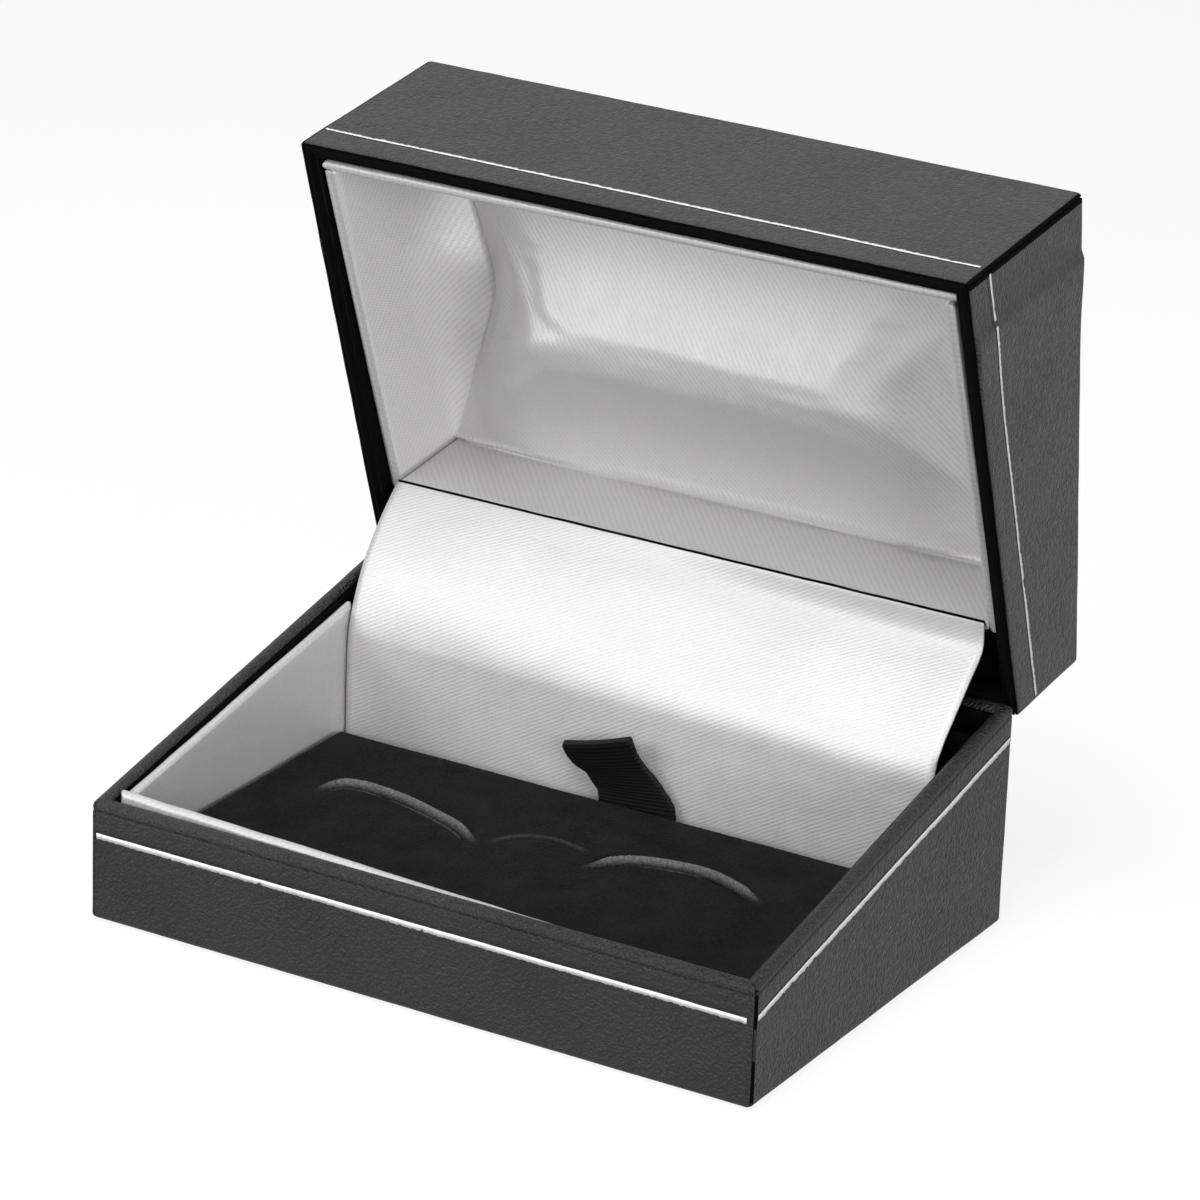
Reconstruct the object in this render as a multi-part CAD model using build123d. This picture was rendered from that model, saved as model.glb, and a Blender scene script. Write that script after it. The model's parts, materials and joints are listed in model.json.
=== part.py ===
from build123d import *
import os
from math import cos, radians, sin

# A hinged cufflink box. The split between base and lid slopes up from front to back.
# X runs across the box, -Y is the front, +Z is up, in millimetres.
# The origin is the middle of the underside, on the table.
# The lid is built closed on the base and is then swung open about the hinge pin.

# Overall sizes of the closed box
width = 80.0
depth = 55.0
total_height = 39.5
front_height = 13.5  # base rim above the table, at the front
rear_height = 25.25  # base rim above the table, at the back
open_angle = 83.0  # where the lid stands open on its stop
lid_gap = 0.2  # between the two rims when shut

# Shells: a moulded core in each half, wrapped in leatherette
skin = 0.35  # leatherette
wall = 1.4  # core walls
floor = 1.35  # core floor
lid_top = 1.4  # core top
edge_radius = 0.8  # upright edges of the wrapped box
rim_radius = 0.45  # outer edge of each rim
turn_in = 3.2  # leatherette folded over the rim and down inside
bottom_margin = 8.0  # leatherette folded under the base
sheet = 0.3  # flocked sheet glued under the base
sheet_inset = 1.6

# White line let into the leatherette on the front and the sides
line_width = 0.5
line_depth = 0.15
base_line_drop = 3.3  # below the base rim
lid_line_rise = 4.0  # above the lid rim
line_break = 0.7  # bare leatherette at each corner

# Satin-covered card liners
liner = 1.1
liner_gap = 0.1  # between a liner and the leatherette beside it
base_liner_drop = 0.3  # top edge below the base rim
lid_liner_recess = 0.3  # edge set back from the lid rim, at the front
rear_liner_at = 44.2  # front of the rear liners, behind the front of the box
rear_liner_height = 19.0  # top of the base's rear card, above the table
lid_rear_liner_recess = 1.6  # and at the back

# Satin strip that hides the hinge
satin = 0.4
strip_gap = 0.3  # at each end
strip_bend_height = 24.0  # where it starts to lean back
strip_bend_radius = 9.0

# Pad
rest_height = 2.5
rest_width = 4.0
velvet = 0.5
foam = 2.0
board = 1.0
pad_gap = 0.3  # between the pad and the liners
tab_room = 1.25  # behind the pad, for the pull tab
velvet_turn_under = 5.0
slit_width = 20.0
slit_rise = 6.0
slit_open = 1.0  # at its widest
slit_tip = 0.12
slit_spacing = 33.4  # between the middles of the two slits
slit_at = 25.2  # ends of the slits, behind the front of the box
middle_slit_width = 11.0
middle_slit_rise = 3.8
middle_slit_open = 0.25

# Pull tab: a folded ribbon behind the pad
tab_width = 9.6
tab_thickness = 0.8
tab_offset = 1.75  # middle of its foot, right of the middle of the box
tab_height = 6.9  # middle of its top edge above the pad
tab_lean = 4.2  # top edge is this far left of the foot
tab_forward = 1.3
tab_slope = 17.0  # tilt of the top edge, degrees

# Puffed satin pad in the lid
top_card = 0.75
puff = 6.2
puff_edge = 0.7
puff_gap = 0.3
puff_pull_left_right = 4.0  # how far the sides are drawn in between the corners
puff_pull_front_rear = 1.6
puff_ridge = 40.0
puff_ridge_width = 4.0
puff_ridge_behind = 3.0  # of the middle
puff_shoulder = 0.42  # share of the puff that rises over the outer third

# Hinge
axis_inset = 0.6  # pin axis in front of the rear face
axis_drop = 1.4  # pin axis below the rim at the rear face
pin_radius = 0.45
pin_fit = 0.05  # radial, in the lid's knuckles
knuckle_radius = 1.0
knuckle_length = 7.0
knuckle_count = 5
knuckle_gap = 0.15
knuckle_room = 0.3  # between the barrel and the base
leaf = 0.4
leaf_depth = 6.0  # leaf in the wall, from the pin axis
pin_head = 0.4

# Sizes that follow from those above
front = -depth / 2
rear = depth / 2
half = width / 2
slope = (rear_height - front_height) / depth
rim_width = 2 * skin + wall
liner_out = rim_width + liner_gap
liner_in = liner_out + liner
floor_top = sheet + skin + floor
ceiling = total_height - skin - lid_top
axis_y = rear - axis_inset
axis_z = rear_height - axis_drop
hinge_axis = Axis((0, axis_y, axis_z), (1, 0, 0))
rear_liner_y = front + rear_liner_at
pad_bottom = floor_top + rest_height
pad_top = pad_bottom + velvet + board + foam + velvet
pad_front = front + liner_in + pad_gap
pad_rear = rear_liner_y - satin - tab_room
pad_half = half - liner_in - pad_gap
hinge_length = knuckle_count * knuckle_length + (knuckle_count - 1) * knuckle_gap
above = total_height  # tall enough to cut right through


def level(z):
    """A flat surface."""
    return lambda y: z


def rim(offset=0.0):
    """A surface parallel to the sloping split, offset straight up or down."""
    return lambda y: front_height + slope * (y - front) + offset


def slab(x0, x1, y0, y1, low, high):
    """A straight-sided block between two surfaces."""
    outline = Polyline((y0, low(y0)), (y1, low(y1)), (y1, high(y1)), (y0, high(y0)), close=True)
    face = Plane.YZ * make_face(outline)
    return Pos(x0, 0, 0) * extrude(face, amount=x1 - x0)


def block(inset, low, high):
    """The footprint of the box, set in by some amount."""
    return slab(inset - half, half - inset, front + inset, rear - inset, low, high)


def rounded_block(inset, low, high, closed_face, open_face=None):
    """A block with rounded upright edges, a rounded closed face and a softened rim."""
    solid = block(inset, low, high)
    radius = edge_radius - inset
    solid = fillet(solid.edges().filter_by(Axis.Z), radius)
    solid = fillet(solid.faces().sort_by(Axis.Z)[closed_face].edges(), radius * 0.75)
    if open_face is not None:
        solid = fillet(solid.faces().sort_by(Axis.Z)[open_face].edges(), rim_radius)
    return solid


def swung_open(closed):
    """Where a piece of the lid stands when the lid is open."""
    return closed.rotate(hinge_axis, -open_angle)


# Base shell

def base_hollow(inset):
    """The inside of the base, open at the top."""
    return block(inset, level(floor_top), level(above))


def hinge_notch():
    """Room for the barrel and for the lid's leaf as it swings back."""
    room = knuckle_radius + knuckle_room
    length = hinge_length + 2 * pin_head + 2 * knuckle_room
    barrel = extrude(Plane.YZ * Pos(axis_y, axis_z) * Circle(room), amount=length / 2, both=True)
    opening = slab(-length / 2, length / 2, axis_y - room, rear + room, level(axis_z), level(above))
    behind = slab(-length / 2, length / 2, axis_y, rear + room, level(axis_z - room), level(axis_z))
    return barrel + opening + behind


def leaf_slot(low, high):
    """A slot in the middle of a rear wall."""
    middle = rear - skin - wall / 2
    return slab(-hinge_length / 2, hinge_length / 2, middle - leaf / 2, middle + leaf / 2,
                level(low), level(high))


def base_core():
    core = rounded_block(skin, level(sheet + skin), rim(-skin), 0)
    return core - base_hollow(skin + wall) - hinge_notch() - leaf_slot(axis_z - leaf_depth, axis_z)


def base_line():
    """White line on the front and both sides, broken at the corners."""
    low, high = rim(-base_line_drop - line_width), rim(-base_line_drop)
    return line_pieces(base_outside(), low, high)


def line_pieces(outside, low, high):
    cut = half - line_break
    ring = (outside & block(-1, low, high)) - block(line_depth, low, high)
    front_piece = ring & slab(-cut, cut, front - 1, front + line_depth, low, high)
    y0, y1 = front + line_break, rear - line_break
    left_piece = ring & slab(-half - 1, -half + line_depth, y0, y1, low, high)
    right_piece = ring & slab(half - line_depth, half + 1, y0, y1, low, high)
    return [front_piece, left_piece, right_piece]


def base_outside():
    return rounded_block(0, level(sheet), rim(), 0, -1)


def base_wrap():
    outer = base_outside() - rounded_block(skin, level(sheet + skin), rim(-skin), 0)
    outer -= block(rim_width, rim(-skin - 1), level(above))
    outer -= block(bottom_margin, level(0), level(sheet + skin))
    lining = block(skin + wall, rim(-turn_in), rim(-skin)) - block(rim_width, rim(-turn_in), rim(-skin))
    wrap = outer + lining - hinge_notch()
    for piece in base_line():
        wrap -= piece
    return wrap


def base_sheet():
    return block(sheet_inset, level(0), level(sheet))


# Base furniture

def base_liner_front():
    y0 = front + liner_out
    x1 = half - liner_out
    return slab(-x1, x1, y0, y0 + liner, level(floor_top), rim(-base_liner_drop))


def base_liner_side(sign):
    x0, x1 = half - liner_in, half - liner_out
    y0, y1 = front + liner_in, rear_liner_y + liner
    if sign < 0:
        x0, x1 = -x1, -x0
    return slab(x0, x1, y0, y1, level(floor_top), rim(-base_liner_drop))


def base_liner_rear():
    x1 = half - liner_in
    return slab(-x1, x1, rear_liner_y, rear_liner_y + liner, level(floor_top), level(rear_liner_height))


def opened_point(y, z):
    """Where a point of the closed lid lies, seen from the side, when the lid is open."""
    turn = radians(-open_angle)
    dy, dz = y - axis_y, z - axis_z
    return axis_y + dy * cos(turn) - dz * sin(turn), axis_z + dy * sin(turn) + dz * cos(turn)


def satin_hinge_strip():
    """A sheet up the rear card that leans back over the hinge to the lid's liner."""
    y = rear_liner_y - satin / 2
    glued = rear_liner_y + liner / 2
    finish = opened_point(glued, lid_liner_edge(glued) - satin)
    path = FilletPolyline((y, floor_top), (y, strip_bend_height), finish, radius=strip_bend_radius)
    sheet_outline = trace(path, line_width=satin)
    x1 = half - liner_in - strip_gap
    return extrude(Plane.YZ * sheet_outline, amount=x1, both=True)


def pad_rest():
    """A low card frame that holds the pad off the floor."""
    x1 = half - liner_in
    y0, y1 = front + liner_in, rear_liner_y - satin
    low, high = level(floor_top), level(pad_bottom)
    frame = slab(-x1, x1, y0, y1, low, high)
    return frame - slab(rest_width - x1, x1 - rest_width, y0 + rest_width, y1 - rest_width, low, high)


# Pad

def crescent(x, length, rise, opening):
    """A curved slit through the pad, widest in the middle."""
    y = front + slit_at
    a, b = (x - length / 2, y), (x + length / 2, y)
    c, d = (b[0], y - slit_tip), (a[0], y - slit_tip)
    outline = ThreePointArc(a, (x, y + rise), b) + Line(b, c)
    outline += ThreePointArc(c, (x, y + rise - opening), d) + Line(d, a)
    return Pos(0, 0, pad_bottom) * extrude(make_face(outline), amount=2 * (pad_top - pad_bottom))


def slits():
    outer = [crescent(s * slit_spacing / 2, slit_width, slit_rise, slit_open) for s in (-1, 1)]
    return outer + [crescent(0, middle_slit_width, middle_slit_rise, middle_slit_open)]


def pad_layer(inset, low, high):
    layer = slab(inset - pad_half, pad_half - inset, pad_front + inset, pad_rear - inset,
                 level(low), level(high))
    for slit in slits():
        layer -= slit
    return layer


def pad_velvet():
    cover = slab(-pad_half, pad_half, pad_front, pad_rear, level(pad_bottom), level(pad_top))
    cover = fillet(cover.edges().filter_by(Axis.Z) + cover.faces().sort_by(Axis.Z)[-1].edges(), velvet)
    cover -= slab(velvet - pad_half, pad_half - velvet, pad_front + velvet, pad_rear - velvet,
                  level(pad_bottom + velvet), level(pad_top - velvet))
    under = velvet + velvet_turn_under
    cover -= slab(under - pad_half, pad_half - under, pad_front + under, pad_rear - under,
                  level(pad_bottom), level(pad_bottom + velvet))
    for slit in slits():
        cover -= slit
    return cover


def pull_tab():
    """A ribbon glued to the back of the pad, leaning left and forward above it."""
    foot = slab(tab_offset - tab_width / 2, tab_offset + tab_width / 2,
                pad_rear, pad_rear + tab_thickness, level(pad_bottom), level(pad_top))
    foot_face = foot.faces().sort_by(Axis.Z)[-1]
    y = pad_rear + tab_thickness / 2
    place = Pos(tab_offset - tab_lean, y - tab_forward, pad_top + tab_height) * Rot(0, -tab_slope, 0)
    top_face = place * Rectangle(tab_width * cos(radians(tab_slope)), tab_thickness)
    return foot + loft([foot_face, top_face.face()], ruled=True)


# Lid, built closed

def lid_outside():
    return rounded_block(0, rim(lid_gap), level(total_height), -1, 0)


def lid_inside(inset):
    """The inside of the lid, open below."""
    return block(inset, level(0), level(ceiling))


def lid_core():
    core = rounded_block(skin, rim(lid_gap + skin), level(total_height - skin), -1)
    return core - lid_inside(skin + wall) - leaf_slot(axis_z, axis_z + leaf_depth)


def lid_line():
    low, high = rim(lid_gap + lid_line_rise), rim(lid_gap + lid_line_rise + line_width)
    return line_pieces(lid_outside(), low, high)


def lid_wrap():
    outer = lid_outside() - rounded_block(skin, rim(lid_gap + skin), level(total_height - skin), -1)
    outer -= block(rim_width, level(0), rim(lid_gap + skin + 1))
    low, high = rim(lid_gap + skin), rim(lid_gap + turn_in)
    lining = block(skin + wall, low, high) - block(rim_width, low, high)
    wrap = outer + lining - leaf_slot(axis_z, axis_z + leaf_depth)
    for piece in lid_line():
        wrap -= piece
    return wrap


def lid_liner_edge(y):
    """Edge of the lid's liners: near the rim at the front and set back more at the back."""
    share = (y - front - liner_out) / (rear_liner_y - front - liner_out)
    return rim(lid_gap)(y) + lid_liner_recess + share * (lid_rear_liner_recess - lid_liner_recess)


def lid_liner_front():
    x1 = half - liner_out
    y0 = front + liner_out
    return slab(-x1, x1, y0, y0 + liner, lid_liner_edge, level(ceiling))


def lid_liner_side(sign):
    x0, x1 = half - liner_in, half - liner_out
    if sign < 0:
        x0, x1 = -x1, -x0
    y0, y1 = front + liner_in, rear_liner_y + liner
    return slab(x0, x1, y0, y1, lid_liner_edge, level(ceiling))


def lid_liner_rear():
    x1 = half - liner_in
    return slab(-x1, x1, rear_liner_y, rear_liner_y + liner, lid_liner_edge, level(ceiling))


def lid_card():
    x1 = half - liner_in
    y0 = front + liner_in
    return slab(-x1, x1, y0, rear_liner_y, level(ceiling - top_card), level(ceiling))


def puff_outline(x1, y0, y1, side_pull, end_pull):
    """A rectangle whose sides are drawn in between its corners."""
    middle = (y0 + y1) / 2
    edges = ThreePointArc((-x1, y0), (0, y0 + end_pull), (x1, y0))
    edges += ThreePointArc((x1, y0), (x1 - side_pull, middle), (x1, y1))
    edges += ThreePointArc((x1, y1), (0, y1 - end_pull), (-x1, y1))
    edges += ThreePointArc((-x1, y1), (side_pull - x1, middle), (-x1, y0))
    return make_face(edges)


def lid_puff():
    """Wadding under satin: pinched corners, drawn-in sides and a long soft ridge."""
    x1 = half - liner_in - puff_gap
    y0, y1 = front + liner_in + puff_gap, rear_liner_y - puff_gap
    middle = (y0 + y1) / 2
    back = ceiling - top_card
    edge = puff_outline(x1, y0, y1, puff_pull_left_right, puff_pull_front_rear)
    third = (y1 - y0) / 6
    shoulder = puff_outline(x1 - third, y0 + third, y1 - third,
                            puff_pull_left_right / 2, puff_pull_front_rear / 2)
    ridge = Pos(0, middle + puff_ridge_behind, 0) * Rectangle(puff_ridge, puff_ridge_width)
    rise = puff_edge + (puff - puff_edge) * puff_shoulder
    rim_piece = Pos(0, 0, back - puff_edge) * extrude(edge, amount=puff_edge)
    lower = loft([Pos(0, 0, back - rise) * shoulder, Pos(0, 0, back - puff_edge) * edge], ruled=True)
    upper = loft([Pos(0, 0, back - puff) * ridge, Pos(0, 0, back - rise) * shoulder], ruled=True)
    return rim_piece + lower + upper


# Hinge

def knuckle(number, bore):
    """One knuckle of the barrel, counted from the left."""
    x = -hinge_length / 2 + number * (knuckle_length + knuckle_gap)
    ring = Circle(knuckle_radius) - Circle(bore)
    return Pos(x, 0, 0) * extrude(Plane.YZ * Pos(axis_y, axis_z) * ring, amount=knuckle_length)


def leaf_tongue(number, low, high, bore):
    """The part of a leaf that runs into one knuckle."""
    x = -hinge_length / 2 + number * (knuckle_length + knuckle_gap)
    middle = rear - skin - wall / 2
    tongue = slab(x, x + knuckle_length, middle - leaf / 2, middle + leaf / 2, level(low), level(high))
    hole = extrude(Plane.YZ * Pos(axis_y, axis_z) * Circle(bore), amount=half, both=True)
    return tongue - hole


def hinge_base_leaf():
    room = knuckle_radius + knuckle_gap
    plate = leaf_slot(axis_z - leaf_depth, axis_z - room)
    for number in range(0, knuckle_count, 2):
        plate += knuckle(number, pin_radius) + leaf_tongue(number, axis_z - room, axis_z, pin_radius)
    return plate


def hinge_lid_leaf():
    room = knuckle_radius + knuckle_gap
    bore = pin_radius + pin_fit
    plate = leaf_slot(axis_z + room, axis_z + leaf_depth)
    for number in range(1, knuckle_count, 2):
        plate += knuckle(number, bore) + leaf_tongue(number, axis_z, axis_z + room, bore)
    return plate


def hinge_pin():
    shaft = Plane.YZ * Pos(axis_y, axis_z) * Circle(pin_radius)
    head = Plane.YZ * Pos(axis_y, axis_z) * Circle(pin_radius + 2 * pin_fit)
    pin = extrude(shaft, amount=hinge_length / 2, both=True)
    pin += Pos(hinge_length / 2, 0, 0) * extrude(head, amount=pin_head)
    return pin + Pos(-hinge_length / 2 - pin_head, 0, 0) * extrude(head, amount=pin_head)


base_nodes = {
    "base_core": [base_core()],
    "base_wrap": [base_wrap()],
    "base_trim_line": base_line(),
    "base_bottom_sheet": [base_sheet()],
    "base_liner_front": [base_liner_front()],
    "base_liner_left": [base_liner_side(-1)],
    "base_liner_right": [base_liner_side(1)],
    "base_liner_rear": [base_liner_rear()],
    "satin_hinge_strip": [satin_hinge_strip()],
    "pad_rest_frame": [pad_rest()],
    "hinge_base_leaf": [hinge_base_leaf()],
    "hinge_pin": [hinge_pin()],
}
pad_nodes = {
    "pad_velvet": [pad_velvet()],
    "pad_foam": [pad_layer(velvet, pad_bottom + velvet + board, pad_top - velvet)],
    "pad_board": [pad_layer(velvet, pad_bottom + velvet, pad_bottom + velvet + board)],
    "pull_tab": [pull_tab()],
}
lid_nodes = {
    "lid_core": [lid_core()],
    "lid_wrap": [lid_wrap()],
    "lid_trim_line": lid_line(),
    "lid_liner_front": [lid_liner_front()],
    "lid_liner_left": [lid_liner_side(-1)],
    "lid_liner_right": [lid_liner_side(1)],
    "lid_liner_rear": [lid_liner_rear()],
    "lid_top_card": [lid_card()],
    "lid_puff_pad": [lid_puff()],
    "hinge_lid_leaf": [hinge_lid_leaf()],
}

nodes = base_nodes | pad_nodes
for name, pieces in lid_nodes.items():
    nodes[name] = [swung_open(piece) for piece in pieces]

os.makedirs("parts", exist_ok=True)
for name, pieces in nodes.items():
    solids = [solid for piece in pieces for solid in piece.solids()]
    shape = solids[0] if len(solids) == 1 else Compound(children=solids)
    export_step(shape, f"parts/{name}.step")
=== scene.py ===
import json
import math

import bmesh
import bpy
import numpy as np
from mathutils import Matrix, Vector, noise


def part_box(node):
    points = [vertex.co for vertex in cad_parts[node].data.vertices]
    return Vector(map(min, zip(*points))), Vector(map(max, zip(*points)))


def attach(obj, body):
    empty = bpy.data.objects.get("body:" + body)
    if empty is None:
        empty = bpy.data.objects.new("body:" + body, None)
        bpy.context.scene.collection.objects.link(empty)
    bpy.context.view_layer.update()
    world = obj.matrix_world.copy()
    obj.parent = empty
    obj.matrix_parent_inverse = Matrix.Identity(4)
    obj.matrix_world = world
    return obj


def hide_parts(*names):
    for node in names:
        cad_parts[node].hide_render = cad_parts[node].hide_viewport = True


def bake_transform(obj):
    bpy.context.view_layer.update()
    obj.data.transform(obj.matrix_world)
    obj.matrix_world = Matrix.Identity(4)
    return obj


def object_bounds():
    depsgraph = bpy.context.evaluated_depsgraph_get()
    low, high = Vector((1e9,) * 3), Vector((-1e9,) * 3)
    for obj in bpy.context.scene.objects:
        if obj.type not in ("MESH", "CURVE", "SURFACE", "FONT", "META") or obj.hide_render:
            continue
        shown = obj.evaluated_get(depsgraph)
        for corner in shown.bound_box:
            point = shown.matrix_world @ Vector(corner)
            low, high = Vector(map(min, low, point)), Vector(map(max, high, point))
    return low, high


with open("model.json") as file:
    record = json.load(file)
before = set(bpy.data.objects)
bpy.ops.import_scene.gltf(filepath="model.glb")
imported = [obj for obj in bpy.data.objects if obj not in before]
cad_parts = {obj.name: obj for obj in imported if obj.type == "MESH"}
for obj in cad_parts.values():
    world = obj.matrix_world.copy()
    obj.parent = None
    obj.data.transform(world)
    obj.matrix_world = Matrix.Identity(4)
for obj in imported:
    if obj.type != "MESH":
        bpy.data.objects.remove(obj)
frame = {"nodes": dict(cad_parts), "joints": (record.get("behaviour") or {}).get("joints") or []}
cad_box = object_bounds()
scene = bpy.context.scene

MM = 0.001

# The shut box, in metres, as the CAD source has it. X is across, -Y is the front.
wrap_low, wrap_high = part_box("base_wrap")
HALF = wrap_high.x
FRONT = wrap_low.y
REAR = wrap_high.y
DEPTH = REAR - FRONT
BASE_BOTTOM = wrap_low.z
TOTAL_HEIGHT = 39.5 * MM
FRONT_HEIGHT = 13.5 * MM
REAR_HEIGHT = 25.25 * MM
LID_GAP = 0.2 * MM
SKIN = 0.35 * MM
WALL = 1.4 * MM
RIM_WIDTH = 2 * SKIN + WALL
TURN_IN = 3.2 * MM  # leatherette folded down inside the rim
HEM = 8.0 * MM  # leatherette folded under the base
LINER_GAP = 0.1 * MM
LINER_OUT = RIM_WIDTH + LINER_GAP
LINER = 1.1 * MM
LINER_IN = LINER_OUT + LINER
FLOOR_TOP = 2.0 * MM
CEILING = 37.75 * MM  # underside of the lid's core
CARD = 0.75 * MM
WELD = 0.002 * MM  # points closer than this are one

hinge = next(joint for joint in frame["joints"] if joint["name"] == "lid_hinge")
HINGE = Vector(hinge["pos_m"])
OPEN_ANGLE = math.radians(hinge["range_deg"][1])
OPEN_LID = (Matrix.Translation(HINGE) @ Matrix.Rotation(-OPEN_ANGLE, 4, "X")
            @ Matrix.Translation(-HINGE))


def base_rim(y):
    """Height of the base's sloping rim."""
    return FRONT_HEIGHT + (REAR_HEIGHT - FRONT_HEIGHT) * (y - FRONT) / DEPTH


def lid_rim(y):
    """Height of the shut lid's sloping rim."""
    return base_rim(y) + LID_GAP


# Mesh helpers

def ripple(point, size, depth, seed=0.0):
    """Smooth noise: how far to move a point, for lumps of that size and depth."""
    return depth * noise.noise(Vector(point) / size + Vector((seed, seed * 1.7, seed * 0.3)))


def smooth(share):
    """A soft step from 0 to 1."""
    share = min(max(share, 0.0), 1.0)
    return share * share * (3 - 2 * share)


def mix(a, b, share):
    return a + (b - a) * share


def rounded(share):
    """Height of a quarter circle, from 0 at its edge to 1."""
    return math.sqrt(max(0.0, 1 - (1 - min(share, 1)) ** 2))


def bell(distance, width):
    """1 in the middle, falling off to both sides."""
    return math.exp(-(distance / width) ** 2)


def run_at(line, place):
    """Which way a line of points runs at one of them."""
    return (line[min(place + 1, len(line) - 1)] - line[max(place - 1, 0)]).normalized()


def object_from(name, points, faces, weave=None, shade=None):
    """A smooth mesh object. weave holds each point's place on the flat cloth, in metres,
    and shade a name and a value for each point that the material reads."""
    mesh = bpy.data.meshes.new(name)
    mesh.from_pydata([tuple(p) for p in points], [], faces)
    if shade is not None:
        mesh.attributes.new(shade[0], "FLOAT", "POINT").data.foreach_set("value", shade[1])
    if weave is not None:
        layer = mesh.uv_layers.new(name="weave")
        for loop in mesh.loops:
            layer.data[loop.index].uv = weave[loop.vertex_index]
    work = bmesh.new()
    work.from_mesh(mesh)
    bmesh.ops.remove_doubles(work, verts=work.verts, dist=WELD)
    bmesh.ops.recalc_face_normals(work, faces=work.faces)
    for face in work.faces:
        face.smooth = True
    work.to_mesh(mesh)
    work.free()
    piece = bpy.data.objects.new(name, mesh)
    scene.collection.objects.link(piece)
    return piece


def grid_faces(rows, columns, close_rows=False, close_columns=False, first=0):
    """Quads between the points of a grid, numbered row by row."""
    faces = []
    for r in range(rows if close_rows else rows - 1):
        for c in range(columns if close_columns else columns - 1):
            r2, c2 = (r + 1) % rows, (c + 1) % columns
            faces.append((first + r * columns + c, first + r * columns + c2,
                          first + r2 * columns + c2, first + r2 * columns + c))
    return faces


def finish_piece(piece, body, slot, *materials, replaces=None):
    """Puts the piece on its body and in its finish. The lid's pieces are turned open."""
    if body == "lid":
        piece.data.transform(OPEN_LID)
    for material in materials:
        piece.data.materials.append(material)
    if body:
        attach(piece, body)
    if replaces:
        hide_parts(replaces)
    return piece


# Materials

WAVE_PERIOD = 0.314  # metres from band to band in a wave texture whose scale is 1


def add_node(tree, kind, *inputs, **named):
    """Adds a shader node. Names in lower case are its own settings. The others are its inputs, in
    order or by name, and each is a value or another node's output."""
    node = tree.nodes.new("ShaderNode" + kind)
    for key in [key for key in named if key.islower()]:
        setattr(node, key, named.pop(key))
    sockets = node.inputs[:len(inputs)] + [node.inputs[key.replace("_", " ")] for key in named]
    for socket, value in zip(sockets, [*inputs, *named.values()]):
        if isinstance(value, bpy.types.NodeSocket):
            tree.links.new(value, socket)
        else:
            socket.default_value = value
    return node


class Shader:
    """A material's node tree, with short calls for the nodes used here."""

    def __init__(self, name):
        self.material = bpy.data.materials.new(name)
        self.material.use_nodes = True
        self.tree = self.material.node_tree
        self.surface = self.tree.nodes["Principled BSDF"]

    def node(self, kind, *inputs, **named):
        return add_node(self.tree, kind, *inputs, **named)

    def link(self, source, target):
        self.tree.links.new(source, self.surface.inputs[target])

    def place(self, weave=False):
        """Where the surface is, in metres: on the flat cloth, or in the object's own space."""
        if weave:
            return self.node("UVMap", uv_map="weave").outputs["UV"]
        return self.node("TexCoord").outputs["Object"]

    def spots(self, place, size, detail=3.0, roughness=0.55):
        """Noise whose lumps are about that size."""
        return self.node("TexNoise", Vector=place, Scale=1 / size, Detail=detail,
                         Roughness=roughness).outputs["Fac"]

    def cells(self, place, size, feature="F1"):
        """Cells of about that size, as the distance to the nearest middle."""
        return self.node("TexVoronoi", feature=feature, Vector=place, Scale=1 / size).outputs["Distance"]

    def threads(self, place, pitch, degrees, wobble=0.6):
        """Parallel threads at an angle on the cloth."""
        turned = self.node("Mapping", Vector=place, Rotation=(0, 0, math.radians(degrees)))
        return self.node("TexWave", wave_type="BANDS", bands_direction="X", wave_profile="SIN",
                         Vector=turned.outputs["Vector"], Scale=WAVE_PERIOD / pitch,
                         Distortion=wobble, Detail=2.0, Detail_Scale=0.6).outputs["Fac"]

    def ramp(self, value, low, high, start=0.0, end=1.0):
        """Two colours, or two greys, mixed by a value."""
        node = self.node("ValToRGB", value)
        for element, position, tone in zip(node.color_ramp.elements, (start, end), (low, high)):
            element.position = position
            element.color = (*tone, 1) if isinstance(tone, tuple) else (tone, tone, tone, 1)
        return node.outputs["Color"]

    def add(self, a, b, share=1.0):
        """a plus a share of b."""
        return self.node("Math", b, share, a, operation="MULTIPLY_ADD").outputs["Value"]

    def colour(self, value, low, high, start=0.0, end=1.0):
        """The surface's colour, from one to the other."""
        self.link(self.ramp(value, low, high, start, end), "Base Color")

    def roughness(self, value, low, high):
        """The surface's roughness, from one to the other."""
        self.link(self.ramp(value, low, high, 0.3, 0.7), "Roughness")

    def bump(self, height, depth, strength=1.0):
        """Relief of that depth, in metres."""
        relief = self.node("Bump", Height=height, Distance=depth, Strength=strength)
        self.link(relief.outputs["Normal"], "Normal")

    def set(self, **values):
        """Values that are the same all over the surface."""
        for key, value in values.items():
            self.surface.inputs[key.replace("_", " ")].default_value = value


def leatherette(name, gloss):
    """Black leatherette: a fine pebbled grain, a little uneven in tone and gloss."""
    s = Shader(name)
    place = s.place()
    pebbles = s.cells(place, 0.30 * MM, "SMOOTH_F1")
    lumps = s.spots(place, 0.7 * MM, 4.0, 0.62)
    patches = s.spots(place, 9 * MM, 2.0)
    s.colour(s.add(patches, lumps, 0.6), (0.006, 0.006, 0.0065), (0.019, 0.019, 0.020), 0.55, 1.05)
    s.roughness(lumps, 0.36, 0.58)
    s.bump(s.add(pebbles, lumps, 1.2), 0.24 * MM)
    s.set(Specular_IOR_Level=gloss)
    return s.material


def speckled(name, noise, tones, relief, rough=None, **values):
    """A finish with one noise in its tone, its relief and sometimes its roughness. noise is what
    spots takes, tones what ramp takes and relief what bump takes."""
    s = Shader(name)
    specks = s.spots(s.place(), *noise)
    s.colour(specks, *tones)
    if rough:
        s.roughness(specks, *rough)
    s.bump(specks, *relief)
    s.set(**values)
    return s.material


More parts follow.
